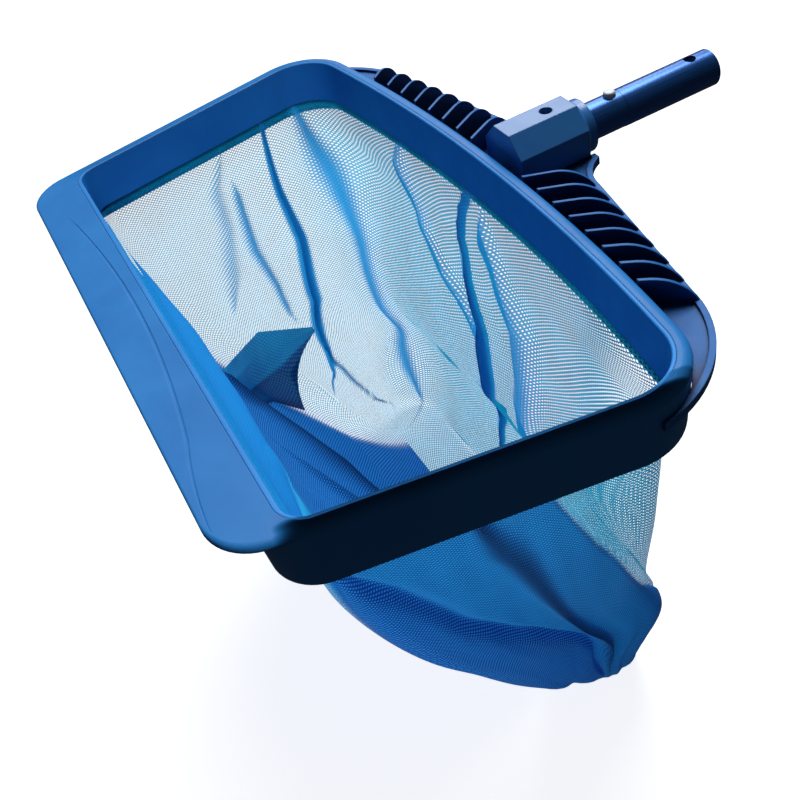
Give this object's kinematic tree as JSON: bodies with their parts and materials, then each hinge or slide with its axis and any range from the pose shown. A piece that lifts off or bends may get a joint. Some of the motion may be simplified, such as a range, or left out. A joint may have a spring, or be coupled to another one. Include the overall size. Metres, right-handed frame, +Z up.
{
  "type": "leaf skimmer net",
  "caption": "Pool leaf skimmer head: a wide scoop-edged frame with a deep mesh bag, a finned rear brace and a short tubular handle with a snap button that plugs into a pole.",
  "frame": {"origin": "on the handle tube's axis, half way along the spigot that enters the pole", "axes": "+Y along the handle away from the head, +Z up out of the net's mouth, +X across the head"},
  "size_m": [0.531, 0.485, 0.3917],
  "materials": {
    "frame_plastic": "moulded plastic, satin, mid blue",
    "hub_plastic": "moulded plastic, satin, mid blue",
    "blue_aluminium": "blue anodised tube, glossy",
    "steel": "stainless steel, plain",
    "button_white": "pale smooth button",
    "net_mesh": "fine knitted polyester mesh, blue",
    "band_mesh": "doubled mesh, brighter blue",
    "hem_cord": "braided cord"
  },
  "bodies": {
    "head": {"frame_shell": "frame_plastic", "retainer_ring": "frame_plastic", "rear_brace": "frame_plastic", "hub_socket": "hub_plastic", "handle_tube": "blue_aluminium", "hub_bolt": "steel", "hub_washer": "steel", "hub_nut": "steel", "clip_spring": "steel", "retainer_screws": "steel", "brace_screws": "steel", "net_bag": "net_mesh", "hem_cord": "hem_cord", "front_band": "band_mesh"},
    "snap_button": {"snap_button": "button_white"}
  },
  "joints": [
    {"name": "button_press", "type": "slide", "parent": "head", "child": "snap_button", "axis": [0, 0, -1], "range_m": [0, 0.004], "stiffness_N_per_m": 1200, "springref_m": -0.001, "deforming": ["clip_spring"]}
  ]
}
